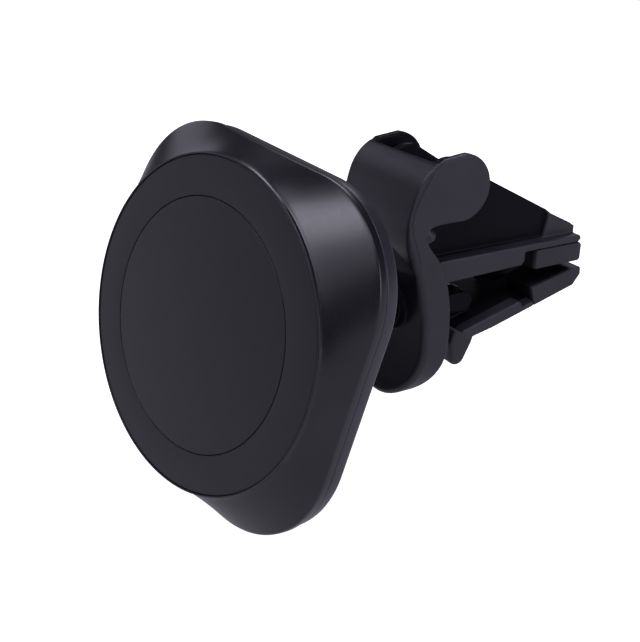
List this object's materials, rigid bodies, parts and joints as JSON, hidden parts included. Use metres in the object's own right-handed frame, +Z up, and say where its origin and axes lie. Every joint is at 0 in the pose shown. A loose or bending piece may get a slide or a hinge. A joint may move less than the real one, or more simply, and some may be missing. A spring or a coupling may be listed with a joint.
{
  "type": "car phone mount",
  "caption": "Magnetic phone holder for a car: a round soft face on a lofted head, a ball joint with a clamp nut, and a sprung two-jaw air-vent clip.",
  "frame": {"origin": "centre of the blade stop's face at the root of the jaws, where a vent blade's edge rests", "axes": "+Y runs back into the vent along the blade, out of the blade stop's face; +X is right as seen from the front; +Z is up"},
  "size_m": [0.0651, 0.0976, 0.0671],
  "materials": {
    "black_plastic": "fine-grained moulded plastic, nearly black",
    "face_silicone": "smooth soft-touch silicone",
    "rubber": "moulded rubber",
    "inner_plastic": "plain moulded plastic, not seen from outside",
    "steel": "zinc-plated steel",
    "magnet": "nickel-plated magnet"
  },
  "bodies": {
    "clip": {"clip_body": "black_plastic", "slot_bumper": "rubber", "ball_stud": "black_plastic", "stud_screw": "steel", "jaw_pin": "black_plastic", "jaw_spring": "steel", "upper_pad_left": "rubber", "upper_pad_right": "rubber"},
    "jaw": {"lower_jaw": "black_plastic", "lower_pad_left": "rubber", "lower_pad_right": "rubber"},
    "pan": {"ball_liner": "rubber"},
    "tilt": {"ball_cup": "inner_plastic"},
    "head": {"face_disc": "face_silicone", "face_ring": "face_silicone", "front_shell": "black_plastic", "magnet_ring": "magnet", "magnet_tray": "inner_plastic", "yoke_plate": "steel", "rear_cover": "black_plastic", "ball_socket": "black_plastic", "cover_screw_1": "steel", "cover_screw_2": "steel", "cover_screw_3": "steel", "cover_screw_4": "steel", "socket_screw_1": "steel", "socket_screw_2": "steel", "socket_screw_3": "steel"},
    "nut": {"clamp_nut": "black_plastic"}
  },
  "joints": [
    {"name": "jaw_hinge", "type": "hinge", "parent": "clip", "child": "jaw", "pos_m": [0, 0.005, -0.0038], "axis": [-1, 0, 0], "range_deg": [0, 17], "stiffness_Nm_per_rad": 0.2, "springref_deg": -57.3, "deforming": ["jaw_spring"]},
    {"name": "head_pan", "type": "hinge", "parent": "clip", "child": "pan", "pos_m": [0, -0.0298, -0.0033], "axis": [0, 0, 1], "range_deg": [-39.1, 4.9]},
    {"name": "head_tilt", "type": "hinge", "parent": "pan", "child": "tilt", "pos_m": [0, -0.0298, -0.0033], "axis": [0.9558, 0.294, 0], "range_deg": [-7.75, 36.25]},
    {"name": "head_spin", "type": "hinge", "parent": "tilt", "child": "head", "pos_m": [0, -0.0298, -0.0033], "axis": [-0.285, 0.9264, -0.2462], "continuous": true},
    {"name": "clamp_nut_turn", "type": "hinge", "parent": "head", "child": "nut", "pos_m": [0, -0.0298, -0.0033], "axis": [-0.285, 0.9264, -0.2462], "range_deg": [0, 90]}
  ]
}
